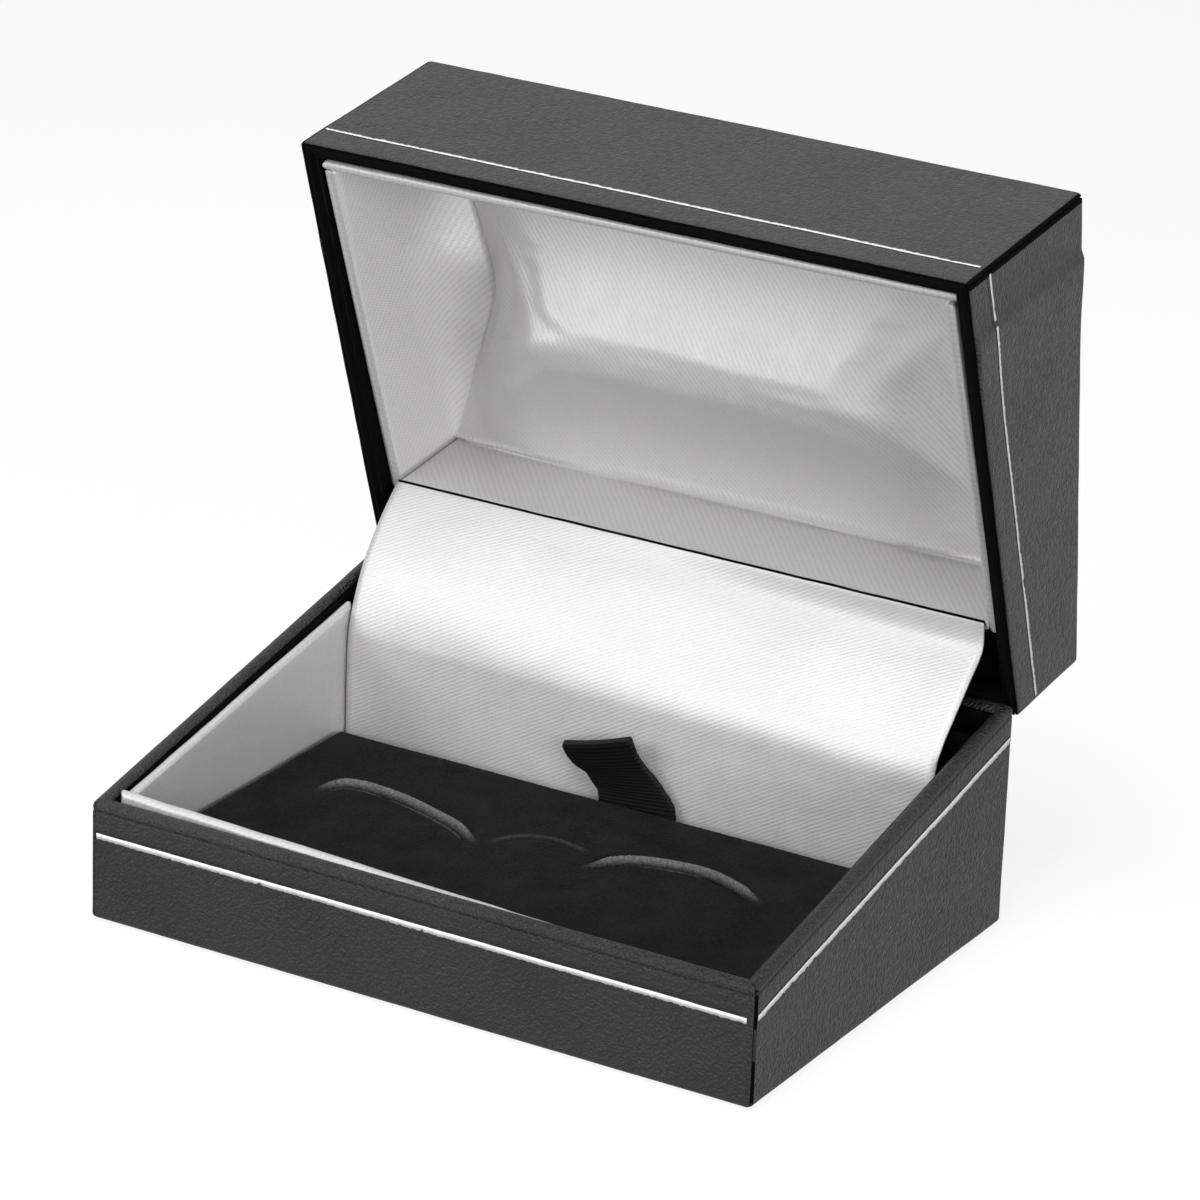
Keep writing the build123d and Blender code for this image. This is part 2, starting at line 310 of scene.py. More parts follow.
def satin(name, tone, pitch, degrees, depth, rough=0.42):
    """White satin with a fine, slightly uneven twill and a soft sheen. pitch is the distance from
    thread to thread, degrees the angle of the twill and depth its relief."""
    s = Shader(name)
    place = s.place(weave=True)
    twill = s.threads(place, pitch, degrees, 2.2)
    warp = s.threads(place, pitch * 0.47, degrees - 68, 2.6)
    grain = s.spots(place, 0.34 * MM, 3.0, 0.75)
    slubs = s.spots(place, 2.4 * MM, 3.0, 0.6)
    cloth = s.add(s.add(s.add(grain, twill, 0.5), warp, 0.3), slubs, 0.3)
    s.colour(cloth, (tone * 0.78,) * 3, (tone, tone * 0.992, tone * 0.978), 0.6, 1.5)
    s.roughness(slubs, rough - 0.05, rough + 0.05)
    s.bump(cloth, depth, 0.8)
    s.set(IOR=1.8, Specular_IOR_Level=1.0)
    return s.material


def velvet():
    """Short black pile, faintly mottled where it has been brushed, with a painted highlight on the slits'
    rolled lips where they face the light.
    """
    s = Shader("velvet")
    place = s.place()
    brushed = s.spots(place, 5 * MM, 4.0, 0.6)
    pile = s.spots(place, 0.3 * MM, 3.0, 0.7)
    tone = s.add(pile, brushed, 0.5)
    # Painted highlight: a paler colour on the slits' rolled lips, where they face the light
    lip_highlight = s.node("Attribute", attribute_name="lip_highlight").outputs["Fac"]
    pile_tones = s.ramp(tone, (0.002, 0.002, 0.0023), (0.021, 0.021, 0.022), 0.5, 1.05)
    highlight_tones = s.ramp(pile, (0.09, 0.09, 0.093), (0.24, 0.24, 0.245), 0.3, 0.7)
    tones = s.node("Mix", data_type="RGBA", Factor=lip_highlight, A=pile_tones, B=highlight_tones)
    s.link(tones.outputs["Result"], "Base Color")
    s.bump(pile, 0.16 * MM)
    s.set(Roughness=0.92, Specular_IOR_Level=0.05, Sheen_Weight=0.03, Sheen_Roughness=0.35,
          Sheen_Tint=(0.5, 0.5, 0.55, 1))
    return s.material


def ribbon():
    """Black grosgrain: ribs across its width."""
    s = Shader("ribbon")
    place = s.place(weave=True)
    ribs = s.threads(place, 0.45 * MM, 90.0, 0.3)
    threads = s.threads(place, 0.18 * MM, 0.0, 0.8)
    cloth = s.add(ribs, threads, 0.35)
    s.colour(cloth, (0.004, 0.004, 0.0045), (0.010, 0.010, 0.011), 0.3, 1.1)
    s.bump(cloth, 0.035 * MM, 0.8)
    s.set(Roughness=0.6, Specular_IOR_Level=0.15)
    return s.material


def foam():
    """Dark open-cell foam."""
    s = Shader("foam")
    cells = s.cells(s.place(), 0.5 * MM)
    s.colour(cells, 0.015, 0.06, 0.1, 0.7)
    s.bump(cells, 0.2 * MM, 0.9)
    s.set(Roughness=0.9)
    return s.material


def plated_steel():
    """Plated steel, drawn along the hinge."""
    s = Shader("plated_steel")
    stretch = s.node("Mapping", Vector=s.place(), Scale=(0.04, 1, 1))
    drawn = s.spots(stretch.outputs["Vector"], 0.12 * MM, 3.0)
    s.colour(drawn, 0.50, 0.66, 0.35, 0.65)
    s.roughness(drawn, 0.24, 0.38)
    s.bump(drawn, 0.01 * MM, 0.4)
    s.set(Metallic=1.0)
    return s.material


LEATHERETTE = leatherette("leatherette", 0.34)
LID_LEATHERETTE = leatherette("lid_leatherette", 0.47)  # a lit copy of the leatherette, painted light: glossier, so that the lid shows more light than the base does
# Matt black for the leatherette's seams, and painted shade: on its turned-in rim for the shaded gap by the
# liners, and at the end of the satin strip for the shadow under the lid's rear liner
SEAMS_AND_PAINTED_SHADE = speckled("seams_and_painted_shade", (0.3 * MM, 4.0, 0.7), (0.002, 0.006, 0.3, 0.7), (0.06 * MM, 0.8),
                    Roughness=0.95, Specular_IOR_Level=0.04)
LINE = speckled("white_line", (0.5 * MM, 3.0), (0.90, 0.98, 0.35, 0.6), (0.03 * MM, 0.6),
                Roughness=0.4, Specular_IOR_Level=1.0)
# One white satin in three tones: the walls' copy lighter and the linings' copy darker, painted light and
# shade for how light falls there; the puff and the strip take the middle tone
LIT_SATIN_WALL = satin("lit_satin_wall", 0.78, 0.66 * MM, 40.0, 0.038 * MM)
SHADED_SATIN_LINING = satin("shaded_satin_lining", 0.57, 0.62 * MM, 40.0, 0.034 * MM)
SATIN_PUFF = satin("satin_puff", 0.70, 0.50 * MM, 42.0, 0.042 * MM, 0.43)
SATIN_STRIP = satin("satin_strip", 0.70, 0.40 * MM, 60.0, 0.036 * MM)
VELVET = velvet()
RIBBON = ribbon()
CARD_STOCK = speckled("card", (0.6 * MM, 5.0, 0.7), (0.035, 0.065, 0.3, 0.7), (0.05 * MM, 0.6),
                      Roughness=0.85)
FLOCK = speckled("flock", (0.3 * MM, 4.0, 0.8), (0.010, 0.028, 0.3, 0.75), (0.12 * MM, 0.9),
                 Roughness=0.95, Sheen_Weight=0.3)
FOAM = foam()
MOULDING = speckled("moulding", (0.25 * MM, 3.0), (0.016, 0.028, 0.3, 0.7), (0.03 * MM, 0.5),
                    rough=(0.45, 0.6))
STEEL = plated_steel()

# CAD pieces that show as they are, in a finish from here
carried_over = {
    "base_core": MOULDING, "lid_core": MOULDING, "base_bottom_sheet": FLOCK,
    "base_liner_rear": CARD_STOCK, "pad_rest_frame": CARD_STOCK, "lid_top_card": CARD_STOCK,
    "pad_board": CARD_STOCK, "pad_foam": FOAM, "hinge_base_leaf": STEEL,
    "hinge_lid_leaf": STEEL, "hinge_pin": STEEL,
}
for node_name, finish in carried_over.items():
    slots = frame["nodes"][node_name].data.materials
    slots.clear()
    slots.append(finish)


# Leatherette wraps

EDGE_RADIUS = 0.7 * MM  # upright edges
FACE_RADIUS = 0.55 * MM  # edges of the closed face
COLUMN_STEP = 1.0 * MM
SEAM_ANGLES = (64, 76)  # where the leatherette meets itself on each upright edge, degrees
SEAM_DEPTH = 0.30 * MM
LINE_WIDTH = 0.56 * MM
LINE_PROUD = 0.035 * MM
LINE_SUNK = -0.06 * MM
LINE_STEPS = 5  # from one of the wrap's columns to the next
BASE_LINE_DROP = 3.3 * MM
LID_LINE_RISE = 4.0 * MM
LAP_FROM_CORNER = 7.0 * MM  # lap seam on the right of the lid
LAP_DEPTH = 0.34 * MM
LAP_WIDTH = 0.3 * MM
LAP_FADE = 11 * MM  # behind the seam the leatherette is flat again
LAP_JOG = 0.3 * MM  # the line steps up by this much
RIM_SOFTENED = 0.3 * MM  # the rim's folds start this far in

# Each side, anticlockwise from the front: which way it faces, and the corner that follows it
SIDES = {"front": ((0, -1), (1, -1)), "right": ((1, 0), (1, 1)),
         "rear": ((0, 1), (-1, 1)), "left": ((-1, 0), (-1, -1))}
CORNER_ANGLES = (11, 24, 37, 48, 56, *SEAM_ANGLES, 87)
END_STEPS = (0.0, 0.12 * MM, 0.3 * MM, 0.6 * MM)

# What differs between the base, which is built upwards (1), and the lid, built downwards (-1)
SEAM_REACH = {1: 0.17 * MM, -1: 0.42 * MM}  # how wide the black of the front right seam is
PAINTED_SHADE_FROM = {1: 1.75 * MM, -1: 0.2 * MM}  # how far in the rim's painted shade starts, matt black for the shaded gap by the liners
LINE_SHARE = {1: 1.1, -1: 0.6}  # how wide the line is, as a share of LINE_WIDTH


class Column:
    """One upright line round the box: where it stands and which way it faces."""

    def __init__(self, a, b, normal, side, seam=False, corner=False, end=False):
        self.a, self.b, self.normal, self.side = a, b, normal, side
        self.seam, self.corner, self.end = seam, corner, end

    def at(self, inset):
        """Plan position at a distance in from the outer face."""
        bend = max(EDGE_RADIUS, inset)
        return (self.a * (HALF - bend) + self.normal[0] * (bend - inset),
                self.b * (DEPTH / 2 - bend) + self.normal[1] * (bend - inset))


def side_shares(length):
    """Places along a side from -1 to 1, closer together near its ends."""
    count = round((length - 2 * END_STEPS[-1]) / COLUMN_STEP)
    middle = np.linspace(END_STEPS[-1], length - END_STEPS[-1], count + 1)
    places = list(END_STEPS[:-1]) + list(middle) + [length - e for e in reversed(END_STEPS[:-1])]
    return [2 * p / length - 1 for p in places]


def wrap_columns():
    """Upright lines all round the box, anticlockwise from the front left."""
    columns = []
    for side, (normal, corner) in SIDES.items():
        across = side in ("front", "rear")
        forward = 1 if side in ("front", "right") else -1
        length = 2 * ((HALF if across else DEPTH / 2) - EDGE_RADIUS)
        shares = side_shares(length)
        for place, share in enumerate(shares):
            a, b = (forward * share, normal[1]) if across else (normal[0], forward * share)
            columns.append(Column(a, b, normal, side, end=place in (0, len(shares) - 1)))
        start = math.atan2(normal[1], normal[0])
        for angle in CORNER_ANGLES:
            turn = start + math.radians(angle)
            columns.append(Column(*corner, (math.cos(turn), math.sin(turn)), "corner",
                                  seam=angle in SEAM_ANGLES, corner=True))
    return columns


COLUMNS = wrap_columns()

# The rim's section in millimetres: inset from the outer face, and how far below the top of the rim.
# The base has one broad bead, and the lid a narrower one between two recesses.
BASE_RIM_SECTION = (
    (0.0, 1.6), (0.0, 1.15), (0.04, 0.98), (0.26, 0.86), (0.05, 0.73), (0.0, 0.6), (0.02, 0.42),
    (0.1, 0.23), (0.26, 0.08), (0.5, 0.0), (0.78, -0.04), (1.05, -0.02), (1.3, 0.06), (1.52, 0.2),
    (1.72, 0.44), (1.86, 0.8), (1.98, 1.3), (2.06, 2.1), (2.1, 3.2),
)
LID_RIM_SECTION = (
    (0.0, 1.25), (0.0, 0.6), (0.02, 0.4), (0.07, 0.22), (0.14, 0.16), (0.2, 0.22), (0.25, 0.3),
    (0.4, 0.31), (0.52, 0.3), (0.57, 0.2), (0.66, 0.07), (0.82, -0.02), (1.0, -0.03), (1.14, 0.03),
    (1.24, 0.12), (1.3, 0.24), (1.38, 0.29), (1.65, 0.3), (1.8, 0.4), (1.9, 0.8), (2.0, 1.6), (2.1, 3.2),
)


def on_lid_right(x, up):
    return up < 0 and x >= HALF - 0.1 * MM


def lap(x, y, up):
    """The leatherette laps over itself on the right of the lid, behind its front corner."""
    if not on_lid_right(x, up):
        return 0.0
    behind = y - FRONT - LAP_FROM_CORNER
    return LAP_DEPTH * smooth(behind / LAP_WIDTH + 0.5) * (1 - smooth(behind / LAP_FADE))


def lap_jog(x, y, up):
    """The line steps across where the leatherette laps."""
    if not on_lid_right(x, up):
        return 0.0
    return LAP_JOG * (1 - smooth((y - FRONT - LAP_FROM_CORNER) / (2 * LAP_WIDTH) + 0.5))


def stand_off(x, y, z, up):
    """How far the leatherette stands proud of the flat face under it."""
    hand_laid = ripple((x, y, z), 5.0 * MM, 0.045 * MM, up) + ripple((x, y, z), 1.7 * MM, 0.02 * MM, up)
    return hand_laid + lap(x, y, up)


def wrap_rows(closed, rim, up, line_at, hem):
    """Rows from the closed face, up the outside, over the rim and down inside.
    Each is (inset, height at y, part): part says what the row belongs to."""
    lower = FACE_RADIUS + 0.25 * MM  # where the edge of the closed face ends
    insets = [5 * MM, 2.5 * MM, 1.2 * MM, lower]
    if hem > HEM:
        insets = [22 * MM, 16 * MM, 11 * MM, 7 * MM] + insets
    rows = [(inset, lambda y: closed, "face") for inset in [hem] + insets]
    for degrees in range(0, 91, 15):
        turn = math.radians(degrees)
        rise = FACE_RADIUS * (1 - math.cos(turn))
        rows.append((FACE_RADIUS * (1 - math.sin(turn)), lambda y, r=rise: closed + up * r, "edge"))
    line_low = line_at + LINE_WIDTH
    for share in (0.0, 0.08, 0.2, 0.35, 0.5, 0.65, 0.8, 0.92, 1.0):
        rows.append((0.0, lambda y, s=share: mix(closed + up * lower, rim(y) - up * (line_low + 0.2 * MM), s),
                     "side"))
    for inset, nearer in ((0.0, -LINE_WIDTH / MM), (0.0, 0.04), (0.13, 0.17), (0.0, 0.3)):
        rows.append((inset * MM, lambda y, n=nearer: rim(y) - up * (line_at - n * MM), "line"))
    for share in (0.35, 0.7):
        rows.append((0.0, lambda y, s=share: rim(y) - up * mix(line_at - 0.4 * MM, 1.6 * MM, s), "side"))
    for inset, drop in (BASE_RIM_SECTION if up > 0 else LID_RIM_SECTION):
        rows.append((inset * MM, lambda y, d=drop: rim(y) - up * d * MM, "rim"))
    return rows


def back_rows(closed, rim, up, hem):
    """The hidden side of the leatherette, glued to the core."""
    inner = RIM_WIDTH - SKIN
    rows = [(inset, lambda y, d=drop: rim(y) - up * d, "back")
            for inset, drop in ((inner, TURN_IN), (inner, SKIN), (SKIN, SKIN))]
    return rows + [(inset, lambda y: closed + up * SKIN, "back") for inset in (SKIN, hem)]


def wrap_point(column, inset, height, part, up):
    """One point of the leatherette's surface."""
    if part == "line" and (column.side in ("corner", "rear") or column.end):
        inset = 0.0
    x, y = column.at(inset)
    z = height(y)
    if part == "back":
        return x, y, z
    out = stand_off(x, y, z, up)
    if part == "face":
        return x, y, z - up * out
    if column.seam and (part != "rim" or inset < RIM_SOFTENED):
        out -= SEAM_DEPTH
    x += column.normal[0] * out
    y += column.normal[1] * out
    if part == "rim":
        mitre = column.corner and (inset >= EDGE_RADIUS or column.seam)
        dip = 0.2 * MM * mitre + ripple((x, y, z), 3 * MM, 0.05 * MM, 7) * (inset < 1.2 * MM)
        z -= up * dip * smooth(inset / RIM_SOFTENED)
    return x, y, z


def wrap(name, closed, rim, up, line_at, hem):
    """Leatherette over one half of the box: a thin skin, turned in over the rim."""
    rows = wrap_rows(closed, rim, up, line_at, hem) + back_rows(closed, rim, up, hem)
    points = [wrap_point(column, *row, up) for row in rows for column in COLUMNS]
    faces = grid_faces(len(rows), len(COLUMNS), close_rows=hem < DEPTH / 2, close_columns=True)
    piece = object_from(name, points, faces)
    seams = [Vector(c.at(0.0)) for c in COLUMNS if c.seam and c.at(0.0)[0] > 0 > c.at(0.0)[1]]
    # Faces of the rim's inner band take the second material as painted shade for the gap by the liners; faces
    # by the front right seam take it as the seam's dark
    for face in piece.data.polygons:
        x, y, z = face.center
        inset = min(HALF - abs(x), y - FRONT, REAR - y)
        below = up * (rim(y) - z)
        in_painted_shade = below < TURN_IN and PAINTED_SHADE_FROM[up] < inset < LINER_OUT
        in_seam = min((Vector((x, y)) - seam).length for seam in seams) < SEAM_REACH[up]
        face.material_index = int(in_painted_shade or in_seam)
    return piece


def trim_line(name, side, rim, up, line_at, seed):
    """A thin white line with one clean edge and one ragged edge."""
    columns = [c for c in COLUMNS if c.side == side and not c.end]
    line_width = LINE_WIDTH * LINE_SHARE[up]
    section = ((0.0, LINE_SUNK), (0.0, LINE_PROUD), (1.0, LINE_PROUD), (1.0, LINE_SUNK))
    fine = [(first, second, step / LINE_STEPS)
            for first, second in zip(columns, columns[1:]) for step in range(LINE_STEPS)]
    fine.append((columns[-2], columns[-1], 1.0))
    points = []
    for width_share, proud in section:
        for first, second, share in fine:
            x, y = (mix(p, q, share) for p, q in zip(first.at(0.0), second.at(0.0)))
            along = x if side == "front" else y
            ragged = ripple((along, seed * MM, 0), 0.38 * MM, 0.15 * MM)
            ragged -= 3.2 * max(0.0, ripple((along, 0, 0), 0.9 * MM, 0.3 * MM, seed) - 0.13 * MM)
            clean = ripple((along, 0, seed * MM), 3.0 * MM, 0.03 * MM)
            drop = line_at + lap_jog(x, y, up) + mix(clean, line_width + ragged, width_share)
            z = rim(y) - up * drop
            out = stand_off(x, y, z, up) + proud
            points.append((x + first.normal[0] * out, y + first.normal[1] * out, z))
    count = len(fine)
    faces = grid_faces(len(section), count, close_rows=True)
    for end in (0, count - 1):
        faces.append(tuple(row * count + end for row in range(len(section))))
    return object_from(name, points, faces)


base_wrap = wrap("base_leatherette", BASE_BOTTOM, base_rim, 1, BASE_LINE_DROP, HEM)
finish_piece(base_wrap, "base", "leatherette", LEATHERETTE, SEAMS_AND_PAINTED_SHADE, replaces="base_wrap")
lid_wrap = wrap("lid_leatherette", TOTAL_HEIGHT, lid_rim, -1, LID_LINE_RISE, DEPTH / 2)
finish_piece(lid_wrap, "lid", "leatherette", LID_LEATHERETTE, SEAMS_AND_PAINTED_SHADE, replaces="lid_wrap")
for seed, side in enumerate(("front", "left", "right")):
    base_line = trim_line(f"base_line_{side}", side, base_rim, 1, BASE_LINE_DROP, 3.1 + seed)
    finish_piece(base_line, "base", "white_line", LINE, replaces="base_trim_line")
    lid_line = trim_line(f"lid_line_{side}", side, lid_rim, -1, LID_LINE_RISE, 9.7 + seed)
    finish_piece(lid_line, "lid", "white_line", LINE, replaces="lid_trim_line")


# Satin-covered boards

def edge_places(length, radius):
    """Places along a board, close together over its rounded edges."""
    ends = [radius * (1 - math.cos(math.radians(a))) for a in (0, 20, 40, 60, 78, 90)]
    count = max(2, round((length - 2 * radius) / (1.2 * MM)))
    middle = list(np.linspace(radius, length - radius, count + 1))[1:-1]
    return ends + middle + [length - e for e in reversed(ends)]


def board(name, corners, thickness, crown=0.10 * MM, wrinkle=0.03 * MM, seed=0.0):
    """A card in cloth with soft edges. corners are its four middle-plane corners, in order."""
    a, b, c, d = (Vector(p) for p in corners)
    width, height = (b - a).length, max((d - a).length, (c - b).length)
    normal = (b - a).cross(d - a).normalized()
    radius = thickness / 2
    across, along = edge_places(width, radius), edge_places(height, radius)
    points, weave = [], []
    for sign in (1, -1):
        for v in along:
            for u in across:
                s, t = u / width, v / height
                middle = (a * (1 - s) + b * s) * (1 - t) + (d * (1 - s) + c * s) * t
                edge = min(u, width - u, v, height - v)
                bulge = rounded(edge / radius)
                swell = crown * math.sin(math.pi * s) * math.sin(math.pi * t)
                soft = ripple(middle, 6 * MM, wrinkle, seed) * bulge
                wavy = (d - a).normalized() * ripple((u, seed * MM, 0), 4 * MM, wrinkle * 2.5) * (t > 0.5)
                points.append(middle + normal * (sign * (radius * bulge + swell * bulge) + soft) + wavy)
                weave.append((u, v))
    first = len(across) * len(along)
    faces = grid_faces(len(along), len(across)) + grid_faces(len(along), len(across), first=first)
    return object_from(name, points, faces, weave)


def band(ring, other):
    """Quads between two rings of points."""
    return list(zip(ring, ring[1:] + ring[:1], other[1:] + other[:1], other))


def sheet_faces(rows, columns):
    """Faces of a thin closed sheet: both sides, numbered one after the other, and its edges."""
    first = rows * columns
    edge = grid_edge(rows, columns)
    return (grid_faces(rows, columns) + grid_faces(rows, columns, first=first)
            + band(edge, [first + i for i in edge]))


def grid_edge(rows, columns):
    """Point numbers round the edge of a grid."""
    return (list(range(columns)) + [r * columns + columns - 1 for r in range(1, rows)]
            + [(rows - 1) * columns + c for c in range(columns - 2, -1, -1)]
            + [r * columns for r in range(rows - 2, 0, -1)])


REAR_LINER_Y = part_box("base_liner_rear")[0].y
INSIDE_X = HALF - LINER_IN
SIDE_LINER_X = HALF - LINER_OUT - LINER / 2
SIDE_FROM = FRONT + LINER_IN
SIDE_TO = REAR_LINER_Y + LINER
FRONT_LINER_Y = FRONT + LINER_OUT + LINER / 2
FRONT_LINER_TILT = (0.40 * MM, -1.9 * MM)  # above the rim on the left, below it on the right
LID_RECESS = (0.3 * MM, 1.6 * MM)  # from its rim to its liners' edges, at the front and the rear


def lid_liner_edge(y):
    """Edge of the lid's liners: near the rim at the front and set back more at the back."""
    share = (y - FRONT - LINER_OUT) / (REAR_LINER_Y - FRONT - LINER_OUT)
    return lid_rim(y) + mix(*LID_RECESS, share)


SIDE_LINER_SINK = {"left": (0.25 * MM, 0.9 * MM), "right": (2.3 * MM, 2.5 * MM)}  # below the rim


def base_side_top(y, side):
    """Top of the base's side liners."""
    return base_rim(y) - mix(*SIDE_LINER_SINK[side], (y - SIDE_FROM) / (SIDE_TO - SIDE_FROM))


def standing(half, y, foot, left, right):
    """Corners of a board across the box, with the heights of its free edge's ends."""
    return [(-half, y, foot), (half, y, foot), (half, y, right), (-half, y, left)]


front_end = HALF - LINER_OUT
front_top = [base_rim(FRONT_LINER_Y) + tilt for tilt in FRONT_LINER_TILT]
base_front = board("base_satin_front", standing(front_end, FRONT_LINER_Y, FLOOR_TOP, *front_top),
                   1.25 * MM, seed=1.3)
finish_piece(base_front, "base", "satin", SHADED_SATIN_LINING, replaces="base_liner_front")
for sign, side, seed in ((-1, "left", 2.1), (1, "right", 3.7)):
    x = sign * SIDE_LINER_X
    liner = board(f"base_satin_{side}", [
        (x, SIDE_FROM, FLOOR_TOP), (x, SIDE_TO, FLOOR_TOP),
        (x, SIDE_TO, base_side_top(SIDE_TO, side)), (x, SIDE_FROM, base_side_top(SIDE_FROM, side)),
    ], 1.15 * MM, seed=seed)
    finish_piece(liner, "base", "satin", SHADED_SATIN_LINING, replaces=f"base_liner_{side}")

front_low = lid_liner_edge(FRONT_LINER_Y)
lid_front = board("lid_satin_front", standing(
    front_end, FRONT_LINER_Y, CEILING, front_low + 0.1 * MM, front_low + 0.7 * MM), LINER, seed=8.3)
finish_piece(lid_front, "lid", "satin", SHADED_SATIN_LINING, replaces="lid_liner_front")
rear_middle = REAR_LINER_Y + LINER / 2
rear_low = lid_liner_edge(rear_middle)
lid_rear = board("lid_satin_rear", standing(INSIDE_X, rear_middle, CEILING, rear_low, rear_low),
                 LINER, seed=4.4)
finish_piece(lid_rear, "lid", "satin", SHADED_SATIN_LINING, replaces="lid_liner_rear")


# Puffed satin in the lid

PUFF = 7.0 * MM  # height of its ridge, before it is rounded
SOFTNESS = 0.6 * MM  # of the ridge and of the hips
RIDGE_END = (8.5 * MM, 13.5 * MM)  # from the ridge's left and right ends to the drawn-in sides
FRONT_CURVE, REAR_CURVE, END_CURVE = 2.0, 1.9, 1.35
LEAST_PUFF = 0.7 * MM  # near its edges
EDGE_ROLL = 1.1 * MM  # how far in from its edges the satin rolls over
SIDE_ROLL = (2.6 * MM, 0.8 * MM)  # at its drawn-in sides, where they are a cove and where a crease
PUFF_BACK = CEILING - CARD
PUFF_BED = 0.18 * MM  # satin and glue under its edge
DRAWN_SIDE = 6.8 * MM
DRAWN_END = 1.2 * MM
DRAWN_AT = FRONT + 24.0 * MM  # where each side is drawn in furthest
CROWN_AT = FRONT + 26.5 * MM
WELT = 0.34 * MM  # the seam along the pad's rear edge
WELT_AT, WELT_WIDTH = 0.3 * MM, 0.2 * MM
WELT_ROWS = (-0.7, -0.55, -0.42, -0.3, -0.18, -0.05, 0.2)  # from the rear liner, in millimetres


def drawn_in(y):
    """How far the pad's sides are drawn in from the walls."""
    reach = (DRAWN_AT - SIDE_FROM) if y < DRAWN_AT else (REAR_LINER_Y - DRAWN_AT)
    share = abs(y - DRAWN_AT) / reach
    return DRAWN_SIDE * max(0.0, 1.006 - math.sqrt(share * share + 0.012))


def creased(y):
    """How sharply the side walls' satin folds into the pad: a crease at the front, a soft cove behind."""
    return smooth((DRAWN_AT + 3 * MM - y) / (8 * MM))


def soft_least(*values):
    """The least of several heights, rounded where two are nearly the same."""
    low = min(values)
    return low - SOFTNESS * math.log(sum(math.exp(-(v - low) / SOFTNESS) for v in values))


def puff_height(x, y):
    """How far the satin stands out of the lid's ceiling: four flanks that meet in a ridge."""
    side = max(INSIDE_X - drawn_in(y) - abs(x), 0.0)
    ends = DRAWN_END * math.cos(math.pi / 2 * x / INSIDE_X)
    front = max(y - SIDE_FROM - ends, 0.0)
    rear = max(REAR_LINER_Y - ends - y, 0.0)
    rise = PUFF * (front / (CROWN_AT - SIDE_FROM - DRAWN_END)) ** FRONT_CURVE
    fall = PUFF * (rear / (REAR_LINER_Y - CROWN_AT - DRAWN_END)) ** REAR_CURVE
    end = PUFF * (side / RIDGE_END[1 if x > 0 else 0]) ** END_CURVE
    edge = math.sqrt(min(front / EDGE_ROLL, 1.0)) * mix(0.9, 1.0, min(rear / EDGE_ROLL, 1.0))
    edge *= smooth(side / mix(*SIDE_ROLL, creased(y)))
    puffed = max(soft_least(soft_least(rise, fall), end) + LEAST_PUFF, 0.0)
    return puffed * edge + WELT * bell(rear - WELT_AT, WELT_WIDTH)


def puff_pad():
    """Satin pulled over wadding: drawn-in sides and a soft crown along the middle."""
    across = np.sin(np.linspace(-math.pi / 2, math.pi / 2, 131))
    along = np.append(np.linspace(SIDE_FROM, REAR_LINER_Y - 0.9 * MM, 78),
                      REAR_LINER_Y + np.array(WELT_ROWS) * MM)
    points, weave = [], []
    for y in along:
        half = INSIDE_X - drawn_in(min(y, REAR_LINER_Y))
        for share in across:
            x = half * share
            soft = ripple((x, y, 0), 7 * MM, 0.10 * MM, 2) * min((1 - abs(share)) * 8, 1.0)
            points.append((x, y, PUFF_BACK - PUFF_BED - puff_height(x, y) - soft))
            weave.append((x, y))
    return object_from("lid_puff", points, grid_faces(len(along), len(across)), weave)


WALL_STEPS = 13  # up the wall
TURN_STEPS = 16  # over from the wall to the pad


def cove(sign, side):
    """The satin of a side wall, which runs on over the ceiling to the pad's drawn-in edge."""
    rows = np.linspace(SIDE_FROM, REAR_LINER_Y, 60)
    points, weave = [], []
    for y in rows:
        drawn, crease = drawn_in(y), creased(y)
        tall = mix(1.3, 1.9, crease) * drawn + 0.4 * MM
        low = lid_liner_edge(y) + 0.35 * MM
        start = PUFF_BACK - tall
        line = [(INSIDE_X, z) for z in np.linspace(low, start, WALL_STEPS + 1)[:-1]]
        for step in range(TURN_STEPS + 1):
            angle = math.pi / 2 * step / TURN_STEPS
            inward = mix(1 - math.cos(angle), (step / TURN_STEPS) ** 2, crease)
            upward = mix(math.sin(angle), step / TURN_STEPS, crease)
            line.append((INSIDE_X - drawn * inward, start + tall * upward - PUFF_BED))
        run = 0.0
        for place, (x, z) in enumerate(line):
            last_x, last_z = line[max(place - 1, 0)]
            run += math.hypot(x - last_x, z - last_z)
            free = math.sin(math.pi * place / (len(line) - 1))
            soft = ripple((x * sign, y, z), 5 * MM, 0.10 * MM, 12) * free
            points.append((sign * (x - 0.02 * MM - abs(soft)), y, z))
            weave.append((sign * y, run))
    sheet = object_from(f"lid_satin_{side}", points, grid_faces(len(rows), len(line)), weave)
    corners = [(sign * SIDE_LINER_X, y, z) for y, z in (
        (SIDE_FROM, lid_liner_edge(SIDE_FROM)), (SIDE_TO, lid_liner_edge(SIDE_TO)),
        (SIDE_TO, CEILING), (SIDE_FROM, CEILING))]
    card_board = board(f"lid_board_{side}", corners, LINER, crown=0.0, wrinkle=0.0)
    return sheet, card_board


def thick_sheet(piece, thickness):
    """Gives a surface the thickness of cloth, behind the side that is seen."""
    thicken = piece.modifiers.new("cloth", "SOLIDIFY")
    thicken.thickness = thickness
    thicken.offset = -1.0
    return piece


def face_towards(piece, direction):
    """Turns the piece's faces so that they look a certain way on the whole."""
    total = sum((face.normal * face.area for face in piece.data.polygons), Vector())
    if total.dot(Vector(direction)) < 0:
        piece.data.flip_normals()
    return piece


SIM_SCALE = 10.0  # the cloth settles at ten times its size
SIM_FRAMES = 20
SIM_CAP = 0.5 * MM  # no point moves further than this
CLOTH = dict(quality=6, mass=0.3, tension_stiffness=12.0, compression_stiffness=12.0,
             shear_stiffness=6.0, bending_stiffness=0.6, vertex_group_mass="held",
             use_pressure=True, uniform_pressure_force=4.0)


